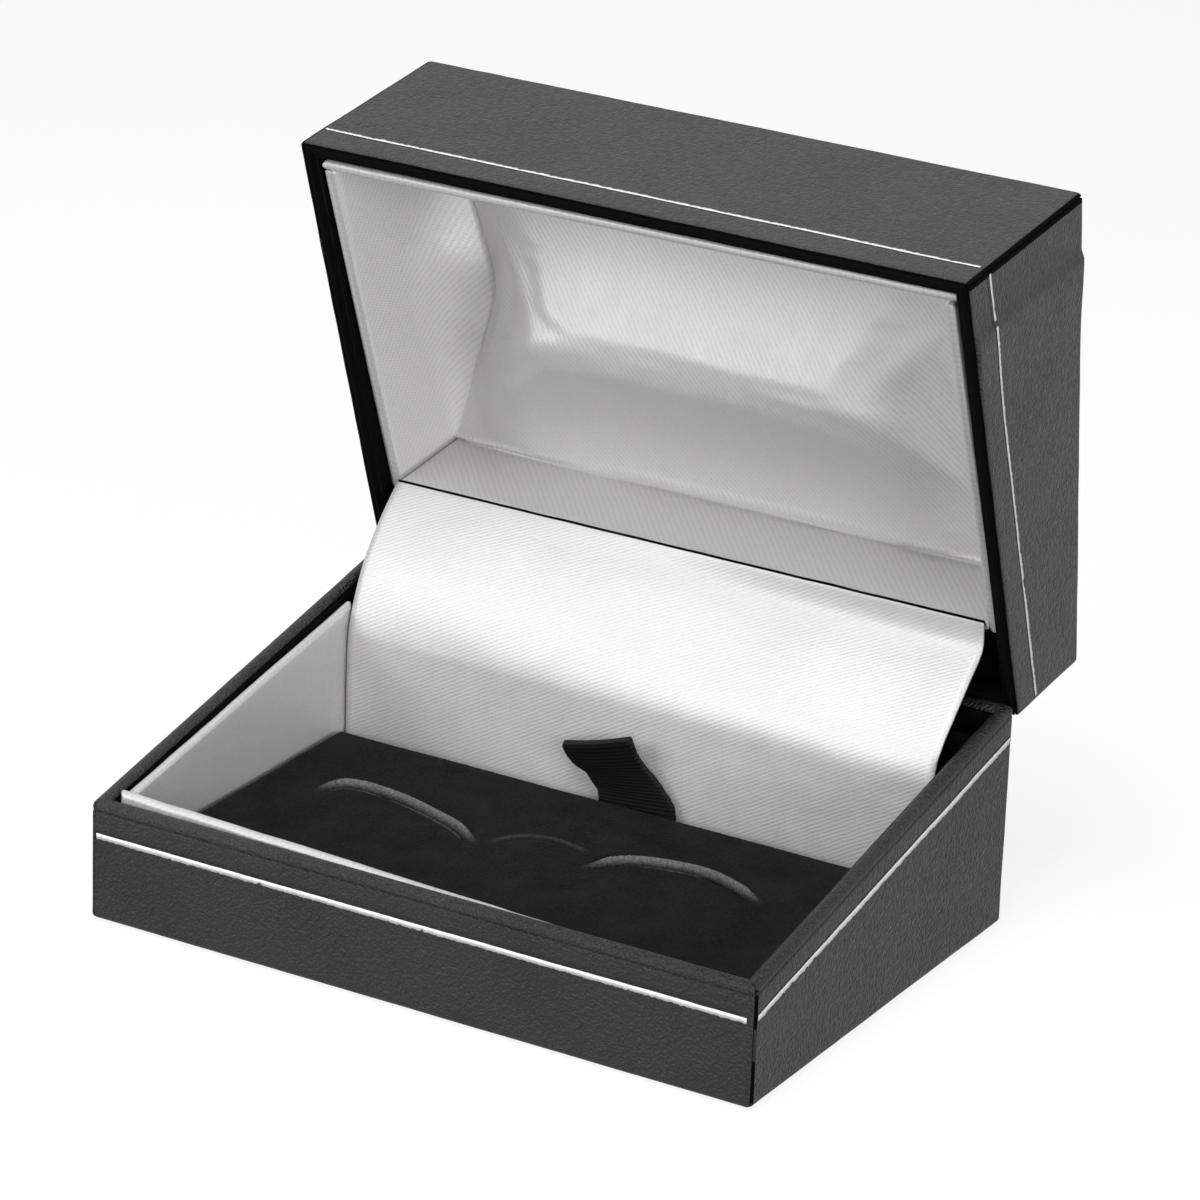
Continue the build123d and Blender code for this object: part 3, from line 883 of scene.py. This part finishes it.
def settle(piece):
    """Lets the satin swell and settle over its wadding: pressure behind it, its edges held."""
    trial = bpy.data.objects.new("settling_satin", piece.data.copy())
    scene.collection.objects.link(trial)
    trial.data.transform(Matrix.Scale(SIM_SCALE, 4))
    edges = bmesh.new()
    edges.from_mesh(trial.data)
    border = [v.index for v in edges.verts if v.is_boundary]
    edges.free()
    trial.vertex_groups.new(name="held").add(border, 1.0, "REPLACE")
    cloth = trial.modifiers.new("cloth", "CLOTH")
    for key, value in CLOTH.items():
        setattr(cloth.settings, key, value)
    cloth.settings.effector_weights.gravity = 0.0
    cloth.point_cache.frame_start = 1
    cloth.point_cache.frame_end = SIM_FRAMES
    for step in range(1, SIM_FRAMES + 1):
        scene.frame_set(step)
    settled = trial.evaluated_get(bpy.context.evaluated_depsgraph_get()).data
    for point, place in zip(piece.data.vertices, settled.vertices):
        move = place.co / SIM_SCALE - point.co
        if move.length > SIM_CAP:
            move *= SIM_CAP / move.length
        point.co += move
    scene.frame_set(1)
    shape = trial.data
    bpy.data.objects.remove(trial)
    bpy.data.meshes.remove(shape)
    return piece


puff = thick_sheet(settle(face_towards(puff_pad(), (0, 0, -1))), 0.25 * MM)
finish_piece(puff, "lid", "satin", SATIN_PUFF, replaces="lid_puff_pad")
for sign, side in ((-1, "left"), (1, "right")):
    sheet, card_board = cove(sign, side)
    thick_sheet(face_towards(sheet, (-sign, 0, 0)), 0.2 * MM)
    finish_piece(sheet, "lid", "satin", LIT_SATIN_WALL)
    finish_piece(card_board, "lid", "satin", SHADED_SATIN_LINING, replaces=f"lid_liner_{side}")


# Satin strip over the hinge

STRIP_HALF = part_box("satin_hinge_strip")[1].x
STRIP_THICK = 0.3 * MM
STRIP_Y = REAR_LINER_Y - 0.25 * MM


def opened(y, z):
    """Where a point of the shut lid lies, seen from the side, when it is open."""
    moved = OPEN_LID @ Vector((0, y, z))
    return moved.y, moved.z


# The end of the strip, and where it starts to fold in under the lid's rear liner
LID_EDGE = opened(REAR_LINER_Y + 0.32 * MM, rear_low - 0.22 * MM)
TUCK = opened(REAR_LINER_Y - 0.08 * MM, rear_low - 0.5 * MM)
# The strip's line seen from the side, from the tray's floor to the lid: left edge, then right edge
STRIP_LEFT = [(STRIP_Y, FLOOR_TOP), (STRIP_Y, 10 * MM), (STRIP_Y, 17.5 * MM),
              (STRIP_Y + 0.15 * MM, 20.0 * MM), (17.5 * MM, 23.2 * MM), (19.2 * MM, 26.9 * MM),
              (21.9 * MM, 30.3 * MM), (24.3 * MM, 32.6 * MM), TUCK, LID_EDGE]
STRIP_RIGHT = [(STRIP_Y, FLOOR_TOP), (STRIP_Y, 9 * MM), (STRIP_Y, 16 * MM), (16.6 * MM, 20.0 * MM),
               (18.1 * MM, 22.7 * MM), (20.4 * MM, 25.0 * MM), (23.3 * MM, 27.9 * MM),
               (26.2 * MM, 30.9 * MM), TUCK, LID_EDGE]


CURVE_STEPS = 24  # from one given point to the next


def curve_through(points, count):
    """A smooth line through points in a plane, evenly spaced along its length."""
    points = [Vector(p) for p in points]
    ends = [2 * points[0] - points[1]] + points + [2 * points[-1] - points[-2]]
    dense = []
    for p0, p1, p2, p3 in zip(ends, ends[1:], ends[2:], ends[3:]):
        for step in range(CURVE_STEPS):
            t = step / CURVE_STEPS
            dense.append(0.5 * (2 * p1 + (p2 - p0) * t + (2 * p0 - 5 * p1 + 4 * p2 - p3) * t * t
                                + (3 * p1 - p0 - 3 * p2 + p3) * t ** 3))
    dense.append(points[-1])
    lengths = np.concatenate([[0], np.cumsum([(b - a).length for a, b in zip(dense, dense[1:])])])
    places = np.linspace(0, lengths[-1], count)
    line = [[float(np.interp(p, lengths, [d[axis] for d in dense])) for axis in range(len(points[0]))]
            for p in places]
    return [Vector(p) for p in line], float(lengths[-1])


STRIP_SHADOW_ROWS = 4  # rows painted dark at the strip's end: a painted shadow where it folds in under the rear liner


def satin_strip():
    """A sheet of satin up the back of the tray, leaning back over the hinge to the lid."""
    rows, columns = 130, 90
    left, left_length = curve_through(STRIP_LEFT, rows)
    right, right_length = curve_through(STRIP_RIGHT, rows)
    points, weave = [], []
    for side in (1, -1):
        for r in range(rows):
            for c in range(columns):
                s = c / (columns - 1)
                x = mix(-STRIP_HALF, STRIP_HALF, s)
                y, z = left[r].lerp(right[r], smooth(s))
                share = r / (rows - 1)
                # Loose between the tray and the lid
                loose = smooth((share - 0.35) / 0.3) * (1 - smooth((share - 0.75) / 0.25))
                sag = loose * ripple((x, z * 0.4, 0), 15 * MM, 0.5 * MM, 3)
                sag += ripple((x, y, z), 4 * MM, 0.05 * MM, 5)
                run = run_at(left, r)
                out = sag + side * STRIP_THICK / 2
                points.append((x, y - run.y * out, z + run.x * out))
                weave.append((x, left_length * share))
    piece = object_from("satin_strip", points, sheet_faces(rows, columns), weave)
    # Painted shadow: the last rows take the second, matt black material
    for face in piece.data.polygons:
        last = min((i % (rows * columns)) // columns for i in face.vertices)
        face.material_index = int(last >= rows - STRIP_SHADOW_ROWS)
    return piece, (left_length + right_length) / 2


strip, strip_length = satin_strip()
finish_piece(strip, None, "satin", SATIN_STRIP, SEAMS_AND_PAINTED_SHADE, replaces="satin_hinge_strip")
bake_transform(strip)


# Velvet pad

pad_low, pad_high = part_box("pad_velvet")
PILE_TOP = pad_high.z - 0.1 * MM
# Each slit in plan, left to right, in millimetres; then how high its rolled lip stands and how deep
# the slit in front of it is
SLITS = (
    (((-28.6, -1.4), (-28.5, 0.6), (-27.2, 2.2), (-25.0, 2.75), (-22.0, 2.5), (-18.5, 1.9),
      (-14.6, 0.7), (-10.8, -0.9), (-7.4, -3.4)), 0.62 * MM, 0.85 * MM),
    (((5.6, -2.3), (6.3, -0.2), (8.2, 2.0), (11.0, 3.4), (14.6, 4.1), (17.6, 4.0), (20.2, 3.2),
      (22.8, 2.0), (25.0, 0.5)), 0.62 * MM, 0.85 * MM),
    (((-6.0, -3.0), (-5.6, -0.8), (-4.0, 1.4), (-1.6, 2.4), (1.1, 2.2), (4.2, 1.2)), 0.10 * MM, 0.10 * MM),
)
SLIT_LINES = [(curve_through([Vector((a * MM, b * MM)) for a, b in line], 90)[0], lip, cut)
              for line, lip, cut in SLITS]
# Across each slit, from its line: the middle and the width of its lip, its cut and its painted highlight
LIP_AT, LIP_WIDTH = 0.1 * MM, 0.28 * MM
CUT_AT, CUT_WIDTH = -0.72 * MM, 0.3 * MM
HIGHLIGHT_AT, HIGHLIGHT_WIDTH = 0.06 * MM, 0.36 * MM
FULL_HIGHLIGHT_LIP = 0.62 * MM  # a lip this high gets the full painted highlight


def slit_relief(x, y):
    """Height change round the slits, and how much painted highlight their rolled lips get."""
    change, lip_highlight = 0.0, 0.0
    here = Vector((x, y))
    for line, lip, cut in SLIT_LINES:
        if not (line[0].x - 2 * MM < x < line[-1].x + 2 * MM and -6 * MM < y < 6.5 * MM):
            continue
        gaps = [(here - p).length_squared for p in line]
        nearest = int(np.argmin(gaps))
        run = run_at(line, nearest)
        gap = here - line[nearest]
        behind = run.x * gap.y - run.y * gap.x
        past_end = abs(run.dot(gap)) if nearest in (0, len(line) - 1) else 0.0
        share = nearest / (len(line) - 1)
        strength = smooth(min(share, 1 - share) * 5.5 + 0.12) * (1 - smooth(past_end / (0.8 * MM)))
        change += strength * (lip * bell(behind - LIP_AT, LIP_WIDTH) - cut * bell(behind - CUT_AT, CUT_WIDTH))
        # The painted highlight lies along the lip's crest
        on_crest = math.exp(-((behind - HIGHLIGHT_AT) / HIGHLIGHT_WIDTH) ** 4)
        lip_highlight = max(lip_highlight, strength * lip / FULL_HIGHLIGHT_LIP * on_crest)
    return change, lip_highlight


PAD_ROUND = 1.3 * MM  # its upper edges
SLITS_FROM, SLITS_TO = -4.6 * MM, 5.2 * MM  # its rows are closer together there


def velvet_pad():
    """Velvet over foam: a soft-edged cover, slit for the cufflinks and turned under."""
    across = np.linspace(pad_low.x, pad_high.x, round((pad_high.x - pad_low.x) / (0.3 * MM)))
    along = np.concatenate([
        np.arange(pad_low.y, SLITS_FROM, 0.5 * MM), np.arange(SLITS_FROM, SLITS_TO, 0.15 * MM),
        np.linspace(SLITS_TO, pad_high.y, 18)])
    points, lip_highlights = [], []
    for y in along:
        for x in across:
            edge = min(x - pad_low.x, pad_high.x - x, y - pad_low.y, pad_high.y - y)
            share = min(edge / PAD_ROUND, 1.0)
            fall = PAD_ROUND * (1 - rounded(share))
            lumps = ripple((x, y, 0), 8 * MM, 0.16 * MM, 1) + ripple((x, y, 0), 0.8 * MM, 0.03 * MM, 4)
            change, lip_highlight = slit_relief(x, y)
            points.append((x, y, PILE_TOP - fall + lumps * share + change))
            lip_highlights.append(lip_highlight)
    rows, columns = len(along), len(across)
    faces = grid_faces(rows, columns)
    edge = ring = grid_edge(rows, columns)
    # Down its edges and in under it
    for inset, z in ((0.0, pad_low.z + 0.4 * MM), (0.12 * MM, pad_low.z + 0.1 * MM), (0.4 * MM, pad_low.z),
                     (5.5 * MM, pad_low.z)):
        below = list(range(len(points), len(points) + len(edge)))
        for i in edge:
            x, y, _ = points[i]
            points.append((min(max(x, pad_low.x + inset), pad_high.x - inset),
                           min(max(y, pad_low.y + inset), pad_high.y - inset), z))
            lip_highlights.append(0.0)
        faces += band(ring, below)
        ring = below
    return object_from("velvet_cover", points, faces, shade=("lip_highlight", lip_highlights))


velvet_cover = thick_sheet(face_towards(velvet_pad(), (0, 0, 1)), 0.3 * MM)
finish_piece(velvet_cover, "pad", "velvet", VELVET, replaces="pad_velvet")


# Pull tab

TAB_THICK = 0.7 * MM
# Its two edges from the pad up to the fold, in millimetres
TAB_LEFT = ((-3.35, 15.55, 4.6), (-3.35, 15.55, 8.6), (-4.3, 15.45, 10.0), (-5.0, 15.35, 10.9),
            (-6.45, 15.2, 11.6), (-7.45, 15.05, 12.8), (-7.6, 15.0, 13.9))
TAB_RIGHT = ((6.25, 15.55, 4.6), (6.25, 15.55, 8.8), (5.1, 15.4, 10.7), (3.8, 15.1, 12.4),
             (2.5, 14.6, 13.9), (1.75, 13.8, 16.0), (1.4, 13.6, 17.0))


def pull_tab():
    """A folded ribbon, leaning over, with a full fold at its top."""
    rows, columns = 90, 40
    left, left_length = curve_through([Vector(p) * MM for p in TAB_LEFT], rows)
    right, right_length = curve_through([Vector(p) * MM for p in TAB_RIGHT], rows)
    length = (left_length + right_length) / 2
    points, weave = [], []
    for side in (1, -1):
        for r in range(rows):
            width = (right[r] - left[r]).length
            up = (left[min(r + 1, rows - 1)] - left[max(r - 1, 0)]
                  + right[min(r + 1, rows - 1)] - right[max(r - 1, 0)]).normalized()
            across = (right[r] - left[r]).normalized()
            normal = across.cross(up).normalized()
            from_top = (1 - r / (rows - 1)) * length
            fold = rounded(from_top / (0.5 * MM))
            full = 1 + 0.55 * bell(from_top, 1.1 * MM)
            for c in range(columns):
                s = c / (columns - 1)
                edge = min(s, 1 - s) * width
                frayed = ripple((from_top, s * 9 * MM, 0), 0.45 * MM, 0.12 * MM)
                frayed *= max(0.0, 1 - edge / (0.5 * MM))
                round_off = rounded(edge / (0.25 * MM))
                curl = 0.5 * MM * math.sin(math.pi * s) * smooth(r / rows)
                thick = side * TAB_THICK / 2 * full * fold * max(round_off, 0.1)
                ribs = 0.03 * MM * math.sin(2 * math.pi * s * width / (0.52 * MM)) * side * fold
                points.append(left[r].lerp(right[r], s) + across * frayed + normal * (thick + ribs + curl))
                weave.append((s * width, from_top))
    return object_from("ribbon_tab", points, sheet_faces(rows, columns), weave)


finish_piece(pull_tab(), "pad", "ribbon", RIBBON, replaces="pull_tab")


# Floor, light and camera

FLOOR_TONE = 0.22
FLOOR_GLOW = 0.86
WORLD_LEVEL = 0.03  # the light from all round, which the camera sees as white


def seen_directly(tree):
    """1 for what the camera or a reflection sees, and 0 for light that falls on things."""
    path = add_node(tree, "LightPath").outputs
    return add_node(tree, "Math", path["Is Camera Ray"], path["Is Glossy Ray"],
                    operation="MAXIMUM").outputs[0]


def pale_floor():
    """A grey floor that the camera sees as near white, with the object's shadow on it."""
    material = bpy.data.materials.new("pale_floor")
    material.use_nodes = True
    tree = material.node_tree
    tree.nodes.clear()
    grey = (FLOOR_TONE, FLOOR_TONE, FLOOR_TONE, 1)
    matt = add_node(tree, "BsdfDiffuse", Color=grey).outputs[0]
    shade = add_node(tree, "BsdfDiffuse", Color=grey).outputs[0]
    glow = add_node(tree, "Emission", Strength=FLOOR_GLOW).outputs[0]
    both = add_node(tree, "AddShader", shade, glow).outputs[0]
    chosen = add_node(tree, "MixShader", seen_directly(tree), matt, both).outputs[0]
    add_node(tree, "OutputMaterial", chosen)
    return material


bpy.ops.mesh.primitive_plane_add(size=6)
floor = bpy.context.object
floor.name = "floor"
floor.data.materials.append(pale_floor())

world = bpy.data.worlds.new("studio")
world.use_nodes = True
sky = world.node_tree
background = sky.nodes["Background"].inputs
background["Color"].default_value = (1, 1, 1, 1)
strength = add_node(sky, "MapRange", seen_directly(sky), To_Min=WORLD_LEVEL, To_Max=1.0)
sky.links.new(strength.outputs["Result"], background["Strength"])
scene.world = world

middle = (cad_box[0] + cad_box[1]) / 2


def towards(azimuth, elevation):
    """From the box towards a light or the camera. Azimuth 0 is in front, 90 on the right."""
    a, e = math.radians(azimuth), math.radians(elevation)
    return Vector((math.sin(a) * math.cos(e), -math.cos(a) * math.cos(e), math.sin(e)))


def softbox(name, azimuth, elevation, distance, width, height, level):
    """An oblong soft light aimed at the box. Its level is what a white surface facing it shows."""
    back = towards(azimuth, elevation)
    data = bpy.data.lights.new(name, "AREA")
    data.shape = "RECTANGLE"
    data.size, data.size_y = width, height
    data.energy = level * (math.pi * distance) ** 2
    lamp = bpy.data.objects.new(name, data)
    lamp.location = middle + back * distance
    lamp.rotation_mode = "QUATERNION"
    lamp.rotation_quaternion = (-back).to_track_quat("-Z", "Y")
    scene.collection.objects.link(lamp)


softbox("overhead", 5, 70, 0.6, 0.26, 0.26, 0.66)
softbox("right", 64, 13, 0.6, 0.30, 0.18, 0.40)
softbox("front", -40, 20, 0.7, 0.38, 0.26, 0.355)
softbox("fill", 22, 9, 0.7, 0.20, 0.16, 0.12)

# The camera, from twelve corners of the box in the photograph
IMAGE = 1200
FOCAL_PIXELS = 5780
AZIMUTH = 29.86
ELEVATION = 21.45
ROLL = math.radians(2.18)
CAMERA_AT = Vector((282.26, -483.16, 256.76)) * MM

camera_data = bpy.data.cameras.new("camera")
camera_data.sensor_width = 36
camera_data.lens = FOCAL_PIXELS / IMAGE * camera_data.sensor_width
camera_data.clip_start, camera_data.clip_end = 0.05, 10
camera = bpy.data.objects.new("camera", camera_data)
back = towards(AZIMUTH, ELEVATION)
level_x = Vector((0, 0, 1)).cross(back).normalized()
level_y = back.cross(level_x)
across = level_x * math.cos(ROLL) + level_y * math.sin(ROLL)
upward = level_y * math.cos(ROLL) - level_x * math.sin(ROLL)
turn = Matrix((across, upward, back)).transposed().to_4x4()
camera.matrix_world = Matrix.Translation(CAMERA_AT) @ turn
scene.collection.objects.link(camera)
scene.camera = camera
scene.view_settings.view_transform = "Standard"
